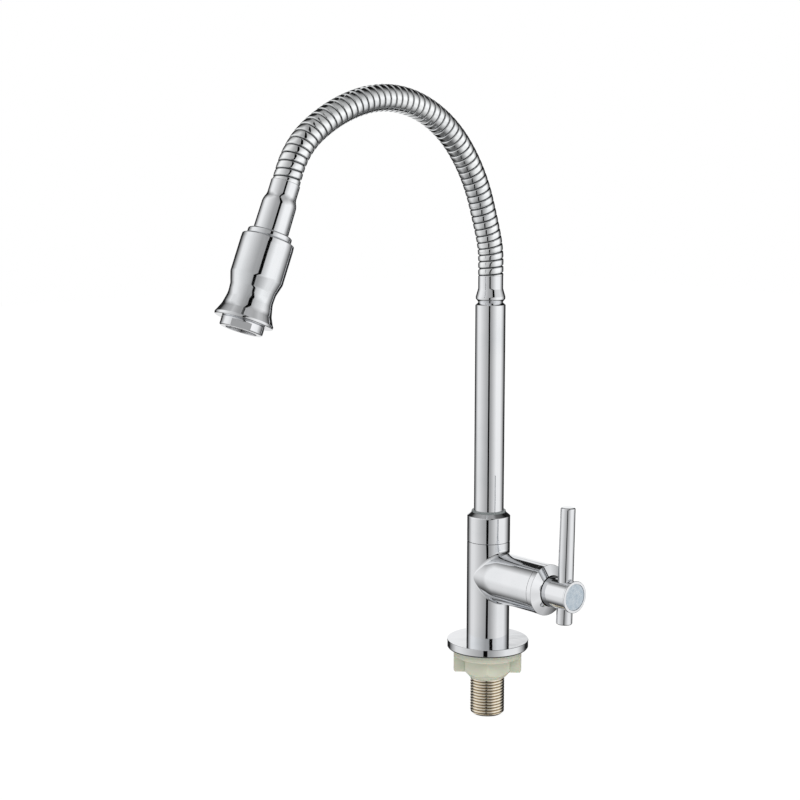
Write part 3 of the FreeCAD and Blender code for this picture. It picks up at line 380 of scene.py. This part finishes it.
# %% Polish: smears, ripple and hairline scratches
SMEAR_SCALE = 45.0
SMEAR_FROM = (0.45, 0.75)
RIPPLE_SCALE = 130.0
HAIRLINE_SCALE = (2600.0, 2600.0, 90.0)     # long and thin along the upright axis
HAIRLINE_FROM = (0.62, 0.80)
HAIRLINE_ROUGH = 0.35
HAIRLINE_CUT = -0.02
polish, given, out = effect("polish", [("Roughness", 0.05), ("Smears", 0.04), ("Ripple", 1.0)],
                            [("Roughness", "Float"), ("Height", "Float"), ("Smear Mask", "Float")])
smear = map_range(polish, noise(polish, SMEAR_SCALE, 4.0), *SMEAR_FROM)
hairline = map_range(polish, noise(polish, 1.0, 3.0, stretched(polish, HAIRLINE_SCALE)), *HAIRLINE_FROM)
marks = maths(polish, "MULTIPLY_ADD", hairline, HAIRLINE_ROUGH, smear)
polish.links.new(maths(polish, "MULTIPLY_ADD", marks, given["Smears"], given["Roughness"]), out["Roughness"])
ripple = maths(polish, "MULTIPLY", noise(polish, RIPPLE_SCALE, 1.0), given["Ripple"])
polish.links.new(maths(polish, "MULTIPLY_ADD", hairline, HAIRLINE_CUT, ripple), out["Height"])
polish.links.new(smear, out["Smear Mask"])

# %% Lathe lines: fine rings round the upright axis
lathe_lines, given, out = effect("lathe_lines", [("Density", 3500.0), ("Contrast", 0.3)],
                                 [("Tone", "Float"), ("Height", "Float")])
axis = lathe_lines.nodes.new("ShaderNodeSeparateXYZ")
lathe_lines.links.new(lathe_lines.nodes.new("ShaderNodeTexCoord").outputs["Object"], axis.inputs[0])
rings = lathe_lines.nodes.new("ShaderNodeTexNoise")
rings.noise_dimensions = "1D"
rings.inputs["Scale"].default_value = 1.0
lathe_lines.links.new(maths(lathe_lines, "MULTIPLY", axis.outputs["Z"], given["Density"]), rings.inputs["W"])
tone = maths(lathe_lines, "SUBTRACT", rings.outputs["Fac"], 0.5)
lathe_lines.links.new(maths(lathe_lines, "MULTIPLY_ADD", tone, given["Contrast"], 0.5), out["Tone"])
lathe_lines.links.new(rings.outputs["Fac"], out["Height"])

# %% Mould grain: cloudy tone and a fine pebbled surface
CLOUD_FROM = (0.3, 0.7)
mould_grain, given, out = effect("mould_grain", [("Grain Size", 1400.0), ("Cloud Size", 90.0)],
                                 [("Cloud", "Float"), ("Height", "Float")])
cloud = map_range(mould_grain, noise(mould_grain, given["Cloud Size"], 3.0), *CLOUD_FROM)
mould_grain.links.new(cloud, out["Cloud"])
mould_grain.links.new(noise(mould_grain, given["Grain Size"], 2.0), out["Height"])

# %% Edge wear: a mask that is 1 on sharp outer edges
WEAR_SCALE = 700.0
edge_wear, given, out = effect("edge_wear", [("Start", 0.52), ("Full", 0.60)], [("Edge", "Float")])
shape_of = edge_wear.nodes.new("ShaderNodeNewGeometry")
sharp = map_range(edge_wear, shape_of.outputs["Pointiness"], given["Start"], given["Full"])
broken = maths(edge_wear, "MULTIPLY", sharp, noise(edge_wear, WEAR_SCALE, 3.0))
edge_wear.links.new(broken, out["Edge"])
print("effects:", [group.name for group in bpy.data.node_groups])

# %% [markdown]
# ## Finishes
# Every finish is its own material with one Principled shader. The colours are written as they should look
# under plain light. The shared effects change the roughness, the tone and the surface a little.

# %% Helpers for finishes
POLISH_RELIEF = 0.03 * MM
MOULD_RELIEF = 0.04 * MM
DISC_RELIEF = 0.03 * MM
BRASS_RELIEF = 0.02 * MM
STEEL_RELIEF = 0.01 * MM
finishes = {}


def finish(name, **inputs):
    """A material with a Principled shader; returns its node tree and that shader."""
    paint = bpy.data.materials.new(name)
    paint.use_nodes = True
    shader = paint.node_tree.nodes["Principled BSDF"]
    for key, value in inputs.items():
        shader.inputs[key.replace("_", " ")].default_value = value
    finishes[name] = paint
    return paint.node_tree, shader


def use(tree, group, **inputs):
    """Places a shared effect in a finish; returns its outputs."""
    node = tree.nodes.new("ShaderNodeGroup")
    node.node_tree = group
    for key, value in inputs.items():
        node.inputs[key.replace("_", " ")].default_value = value
    return node.outputs


def bump(tree, shader, surface_height, distance):
    """Turns a height into the shader's normal; distance is in metres."""
    node = new_node(tree, "ShaderNodeBump", Height=surface_height, Distance=distance, Strength=1.0)
    tree.links.new(node.outputs["Normal"], shader.inputs["Normal"])


def polished(tree, shader, effects):
    """Gives a mirror finish the roughness and the faint relief of its polish."""
    tree.links.new(effects["Roughness"], shader.inputs["Roughness"])
    bump(tree, shader, effects["Height"], POLISH_RELIEF)


# %% [markdown]
# ### Chrome
# Plated brass: a bright, slightly cool mirror. A perfect mirror looks false, so the plating gets a trace of
# ripple, like the skin of still water, and faint smears where hands and cloths have been.

# %% Chrome
CHROME_CLEAN = colour(0.86, 0.87, 0.89)
CHROME_SMEARED = colour(0.80, 0.82, 0.84)
tree, shader = finish("chrome", Metallic=1.0)
effects = use(tree, polish, Roughness=0.035, Smears=0.05, Ripple=1.0)
plating = blend_colour(tree, effects["Smear Mask"], CHROME_CLEAN, CHROME_SMEARED)
tree.links.new(plating, shader.inputs["Base Color"])
polished(tree, shader, effects)

# %% [markdown]
# ### The hose's chrome
# The wound strip is plated like the rest, but its grooves hold shadow and a little grime. The mesh carries
# a number at each point, "groove", that is 1 at the bottom of a groove, and the finish darkens by it.

# %% Chrome with dark grooves
GROOVE_SHADOW = colour(0.035, 0.038, 0.042)
HOSE_CLEAN = colour(0.94, 0.955, 0.96)
HOSE_SMEARED = colour(0.82, 0.84, 0.86)


def groove_mask(tree):
    """The mesh's groove number: 1 at the bottom of a groove or a thread's root, 0 on the crests."""
    node = tree.nodes.new("ShaderNodeAttribute")
    node.attribute_name = "groove"
    return node.outputs["Fac"]


tree, shader = finish("hose_chrome", Metallic=1.0)
effects = use(tree, polish, Roughness=0.045, Smears=0.07, Ripple=1.6)
bright = blend_colour(tree, effects["Smear Mask"], HOSE_CLEAN, HOSE_SMEARED)
tree.links.new(blend_colour(tree, groove_mask(tree), bright, GROOVE_SHADOW), shader.inputs["Base Color"])
polished(tree, shader, effects)

# %% [markdown]
# ### Brass
# The inlet thread is bare, pale brass, cut on a lathe. The crests stay pale and the roots are darkened with
# painted shade, so its tone follows the same "groove" number, and the lathe's rings show on it.

# %% Brass
BRASS_BRIGHT = colour(0.99, 0.92, 0.79)
BRASS_DULL = colour(0.97, 0.88, 0.72)
# The root colour is painted shade, laid into the thread's roots by the groove number.
BRASS_ROOT_SHADE = colour(0.24, 0.19, 0.13)
tree, shader = finish("brass", Metallic=1.0)
lines = use(tree, lathe_lines, Density=5200.0, Contrast=0.9)
effects = use(tree, polish, Roughness=0.04, Smears=0.06, Ripple=1.0)
rubbed = blend_colour(tree, lines["Tone"], BRASS_DULL, BRASS_BRIGHT)
tree.links.new(blend_colour(tree, groove_mask(tree), rubbed, BRASS_ROOT_SHADE), shader.inputs["Base Color"])
tree.links.new(effects["Roughness"], shader.inputs["Roughness"])
bump(tree, shader, lines["Height"], BRASS_RELIEF)

# %% [markdown]
# ### Moulded plastics
# The back nut is natural nylon, a waxy greenish cream that light enters a little, so it has some
# subsurface scattering. The bush and the water fittings are plainer mouldings with the same grain.

# %% Nylon and other mouldings
CLOUD_SCALE = 90.0
LIGHT_DEPTH = 4.0 * MM      # how far light runs inside the nylon
WORN_FROM = 0.52
WORN_FULL = 0.62


def moulded(name, light, dark, edge, roughness, grain=1400.0, subsurface=0.0):
    """A moulded plastic: cloudy tone, paler worn edges and a fine grain."""
    tree, shader = finish(name, Roughness=roughness, Subsurface_Weight=subsurface,
                          Subsurface_Scale=LIGHT_DEPTH)
    effects = use(tree, mould_grain, Grain_Size=grain, Cloud_Size=CLOUD_SCALE)
    tone = blend_colour(tree, effects["Cloud"], dark, light)
    worn = use(tree, edge_wear, Start=WORN_FROM, Full=WORN_FULL)["Edge"]
    tree.links.new(blend_colour(tree, worn, tone, edge), shader.inputs["Base Color"])
    bump(tree, shader, effects["Height"], MOULD_RELIEF)


moulded("nut_nylon", colour(0.65, 0.665, 0.545), colour(0.57, 0.585, 0.475), colour(0.74, 0.76, 0.63), 0.42,
        subsurface=0.25)
moulded("grey_bush", colour(0.215, 0.235, 0.235), colour(0.18, 0.20, 0.20), colour(0.33, 0.35, 0.35), 0.38)
moulded("white_plastic", colour(0.80, 0.81, 0.79), colour(0.74, 0.75, 0.72), colour(0.88, 0.88, 0.86), 0.40)
moulded("water_tube", colour(0.78, 0.79, 0.76), colour(0.70, 0.72, 0.69), colour(0.84, 0.85, 0.82), 0.35)
moulded("ceramic", colour(0.90, 0.90, 0.87), colour(0.86, 0.86, 0.83), colour(0.94, 0.94, 0.92), 0.15,
        grain=4000.0)
moulded("rubber", colour(0.030, 0.030, 0.032), colour(0.018, 0.018, 0.020), colour(0.06, 0.06, 0.06), 0.70,
        grain=2200.0)

# %% [markdown]
# ### Index disc
# The small disc in the cap is plain glossy plastic in a pale, cold blue, with the faint cloudiness of a cast
# plastic under a clear skin.

# %% Index disc
DISC_DEEP = colour(0.36, 0.44, 0.51)
DISC_PALE = colour(0.51, 0.57, 0.62)
tree, shader = finish("index_blue", Roughness=0.22, Coat_Weight=0.6, Coat_Roughness=0.06)
effects = use(tree, mould_grain, Grain_Size=2600.0, Cloud_Size=420.0)
tree.links.new(blend_colour(tree, effects["Cloud"], DISC_DEEP, DISC_PALE), shader.inputs["Base Color"])
bump(tree, shader, effects["Height"], DISC_RELIEF)

# %% [markdown]
# ### Steel
# Screws, clips and the fine screen in the nozzle are plain stainless steel, brushed rather than polished.

# %% Steel
BRUSHED_DARK = (0.86, 0.87, 0.88)   # the dark lines' share of the tint, for red, green and blue


def brushed(name, tint, roughness):
    """A brushed steel: a grey tint with fine darker lines."""
    tree, shader = finish(name, Metallic=1.0)
    effects = use(tree, polish, Roughness=roughness, Smears=0.12, Ripple=0.6)
    lines = use(tree, lathe_lines, Density=6000.0, Contrast=0.8)
    dark = colour(*(tint * share for share in BRUSHED_DARK))
    tree.links.new(blend_colour(tree, lines["Tone"], dark, grey(tint)), shader.inputs["Base Color"])
    tree.links.new(effects["Roughness"], shader.inputs["Roughness"])
    bump(tree, shader, lines["Height"], STEEL_RELIEF)


brushed("steel", 0.62, 0.26)
brushed("screen_steel", 0.50, 0.32)
print("finishes:", sorted(finishes))

# %% [markdown]
# Each solid already names the finish that it should take, so the finishes are handed out in one loop.

# %% Hand out the finishes
for part in record["subparts"]:
    solid = nodes[part["node"]]
    solid.data.materials.clear()
    solid.data.materials.append(finishes[part["material_slot"]])

# %% [markdown]
# ## The gooseneck hose
# The real hose is a steel strip wound into a tube round a water pipe. Each turn shows as a rounded rib with
# a narrow groove beside it, and the ribs run round as one long helix. The solid model has plain rings in
# eight stiff lengths. Here the winding is made as a mesh: rows of points are laid across the hose's curved
# line, and each point's distance from that line follows the winding, which moves on by one rib per turn.
# The mesh is made in nine pieces that meet in the middle of the stiff lengths. The first piece is attached to
# the spout and the last to the last stiff length; the seven between are not attached and do not bend.

# %% The hose's line
RIB_PITCH = 4.2 * MM
RIBS_PER_LENGTH = 7
HOSE_LENGTHS = 8
HOSE_START = 228.4 * MM
HOSE_END_STRAIGHT = 7.7 * MM
BENDS = [(16.0, 16.0), (22.0, 3.0), (36.0, 20.5), (40.0, 30.5), (40.0, 33.0), (40.0, 23.5)]
LAST_TURN = 31.5            # each bend has its length in mm and its turn in degrees; this one takes the rest
STIFF_LENGTH = RIBS_PER_LENGTH * RIB_PITCH
HOSE_LENGTH = HOSE_LENGTHS * STIFF_LENGTH

stretches = [(HOSE_END_STRAIGHT, 0.0)] + [(length * MM, math.radians(turn)) for length, turn in BENDS]
used = sum(length for length, turn in stretches) + HOSE_END_STRAIGHT
stretches += [(HOSE_LENGTH - used, math.radians(LAST_TURN)), (HOSE_END_STRAIGHT, 0.0)]


def hose_line(along):
    """The point of the hose's middle line at a length along it, and its turn from straight up."""
    y, z, turn = 0.0, HOSE_START, 0.0
    for number, (length, bend) in enumerate(stretches):
        last = number == len(stretches) - 1
        step = along if last else min(along, length)
        if bend == 0.0:
            y -= math.sin(turn) * step
            z += math.cos(turn) * step
        else:
            curve = bend / length
            y += (math.cos(turn + curve * step) - math.cos(turn)) / curve
            z += (math.sin(turn + curve * step) - math.sin(turn)) / curve
            turn += curve * step
        along -= step
        if along <= 0.0:
            break
    return y, z, turn


tip = hose_line(HOSE_LENGTH)
print("hose ends at y %.1f z %.1f mm, turned %.0f degrees" % (tip[0] / MM, tip[1] / MM, math.degrees(tip[2])))

# %% [markdown]
# A tube with walls is a loop of rows: the outside from start to end, then the inside back again. Every row
# is a ring of points, and quads join each row to the next, also the last to the first.

# %% Mesh helper: a closed tube from rings of points


def tube_mesh(name, rings, grooves):
    """An object from rings of points, joined in a loop; grooves has one number for each point."""
    count = len(rings[0])
    points = [point for ring in rings for point in ring]
    faces = []
    for row in range(len(rings)):
        following = (row + 1) % len(rings)
        for column in range(count):
            beside = (column + 1) % count
            faces.append((row * count + column, row * count + beside,
                          following * count + beside, following * count + column))
    mesh = bpy.data.meshes.new(name)
    mesh.from_pydata(points, [], faces)
    mesh.polygons.foreach_set("use_smooth", [True] * len(mesh.polygons))
    attribute = mesh.attributes.new("groove", "FLOAT", "POINT")
    attribute.data.foreach_set("value", [value for ring in grooves for value in ring])
    mesh.update()
    thing = bpy.data.objects.new(name, mesh)
    bpy.context.scene.collection.objects.link(thing)
    return thing


# %% [markdown]
# The winding's cross-section is written once as a distance from the nearest groove: a flat bottom, a short
# flank and a broad crown. The crown is nearly flat, so that the room's long lines run on from rib to rib,
# and its slight curve breaks them up a little, which gives the hose its glitter.

# %% The winding
COLUMNS = 64
ROWS_PER_RIB = 20
RIB_CREST = 7.6 * MM
RIB_DEPTH = 0.75 * MM
RIB_CROWN = 0.09 * MM       # how far the crest's middle stands over its shoulders
GROOVE_HALF = 0.14 * MM     # half the groove's flat bottom
GROOVE_FLANK = 0.42 * MM
TUBE_INSIDE = 5.2 * MM
GROOVE_TONE = 1.25          # how quickly the dark tone ends up the flank
WINDING_START = 0.33        # the share of a turn at which the first groove begins


def smooth(share):
    """Eases a share between 0 and 1 at both ends."""
    return share * share * (3.0 - 2.0 * share)


def winding(phase):
    """(distance from the middle line, groove mask) for a phase from 0 to 1 along one rib."""
    away = min(phase, 1.0 - phase) * RIB_PITCH
    share = min(1.0, max(0.0, (away - GROOVE_HALF) / GROOVE_FLANK))
    rise = smooth(share)
    shoulder = GROOVE_HALF + GROOVE_FLANK
    crest_share = max(0.0, (away - shoulder) / (RIB_PITCH / 2 - shoulder))
    crown = RIB_CROWN * (1.0 - crest_share) ** 2
    radius = RIB_CREST - RIB_DEPTH + (RIB_DEPTH - crown) * rise
    return radius, max(0.0, 1.0 - GROOVE_TONE * rise)


def hose_ring(along, radii):
    """A ring of points across the hose at a length along it, with one radius for each column."""
    y, z, turn = hose_line(along)
    ring = []
    for column, radius in enumerate(radii):
        angle = 2.0 * math.pi * column / COLUMNS
        side = math.cos(angle) * radius
        out = math.sin(angle) * radius
        ring.append((side, y + math.cos(turn) * out, z + math.sin(turn) * out))
    return ring


def hose_piece(name, low, high):
    """The wound hose from one length along it to another, as a tube with walls."""
    rows = round((high - low) / RIB_PITCH * ROWS_PER_RIB)
    rings = []
    grooves = []
    for row in range(rows + 1):
        along = low + (high - low) * row / rows
        phase = along / RIB_PITCH - WINDING_START
        cut = [winding((phase - column / COLUMNS) % 1.0) for column in range(COLUMNS)]
        rings.append(hose_ring(along, [radius for radius, groove in cut]))
        grooves.append([groove for radius, groove in cut])
    for row in range(rows, -1, -(ROWS_PER_RIB // 2)):
        along = low + (high - low) * row / rows
        rings.append(hose_ring(along, [TUBE_INSIDE] * COLUMNS))
        grooves.append([0.0] * COLUMNS)
    return tube_mesh(name, rings, grooves)


# %% Build the hose and attach its end pieces
hose_bodies = ["spout"] + ["hose_part_%d" % number for number in range(2, HOSE_LENGTHS + 1)]
middles = [0.0] + [(number + 0.5) * STIFF_LENGTH for number in range(HOSE_LENGTHS)] + [HOSE_LENGTH]
for number in range(HOSE_LENGTHS + 1):
    piece = hose_piece("hose_winding_%d" % number, middles[number], middles[number + 1])
    piece.data.materials.append(finishes["hose_chrome"])
    if number == 0:
        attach(piece, hose_bodies[0])
        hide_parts("hose_1")
    elif number == HOSE_LENGTHS:
        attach(piece, hose_bodies[-1])
    else:
        joint = number * STIFF_LENGTH
        y, z, turn = hose_line(joint)
        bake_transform(piece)
        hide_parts("hose_%d" % (number + 1))
print("hose pieces:", HOSE_LENGTHS + 1, "ribs:", HOSE_LENGTHS * RIBS_PER_LENGTH)

# %% [markdown]
# ## The inlet thread
# A pipe thread is a helix too. The solid model simplifies it to separate rings. Here the same trick as for
# the hose gives a true helix with rounded crests and roots, and a chamfer at its end that fades the last
# turn away.

# %% Threaded shank
THREAD_PITCH = 1.814 * MM
THREAD_CREST = 10.478 * MM
THREAD_DEPTH = 1.162 * MM
THREAD_BORE = 7.0 * MM
THREAD_CHAMFER = 1.3 * MM
THREAD_ROWS = 14            # rows for each turn of the thread
THREAD_FLAT = 1.9           # how much the crests are flattened
ROOT_SHADE_TONE = 2.2             # how quickly the dark tone ends above the root
shank_low, shank_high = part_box("threaded_shank")
shank_length = shank_high.z - shank_low.z


def upright_ring(z, radii):
    """A level ring of points round the upright axis, with one radius for each column."""
    ring = []
    for column, radius in enumerate(radii):
        angle = 2.0 * math.pi * column / COLUMNS
        ring.append((math.cos(angle) * radius, math.sin(angle) * radius, z))
    return ring


def thread_flank(z, column):
    """How far the thread has risen from root (0) to crest (1) at a height and a column."""
    phase = (z / THREAD_PITCH - column / COLUMNS) % 1.0
    wave = 0.5 - 0.5 * math.cos(2.0 * math.pi * phase)
    return min(1.0, THREAD_FLAT * smooth(wave))


rings = []
grooves = []
rows = round(shank_length / THREAD_PITCH * THREAD_ROWS)
for row in range(rows + 1):
    z = shank_low.z + shank_length * row / rows
    chamfered = THREAD_CREST - THREAD_CHAMFER + (z - shank_low.z)
    flanks = [thread_flank(z, column) for column in range(COLUMNS)]
    radii = [min(THREAD_CREST - THREAD_DEPTH * (1.0 - flank), chamfered) for flank in flanks]
    rings.append(upright_ring(z, radii))
    # The groove number sets how far the brass is darkened with painted shade in the thread's roots.
    grooves.append([max(0.0, 1.0 - ROOT_SHADE_TONE * flank) for flank in flanks])
for z in (shank_high.z, shank_low.z):
    rings.append(upright_ring(z, [THREAD_BORE] * COLUMNS))
    grooves.append([0.0] * COLUMNS)
shank = tube_mesh("inlet_thread", rings, grooves)
shank.data.materials.append(finishes["brass"])
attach(shank, "tap")
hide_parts("threaded_shank")
print("thread turns:", round(shank_length / THREAD_PITCH, 1))
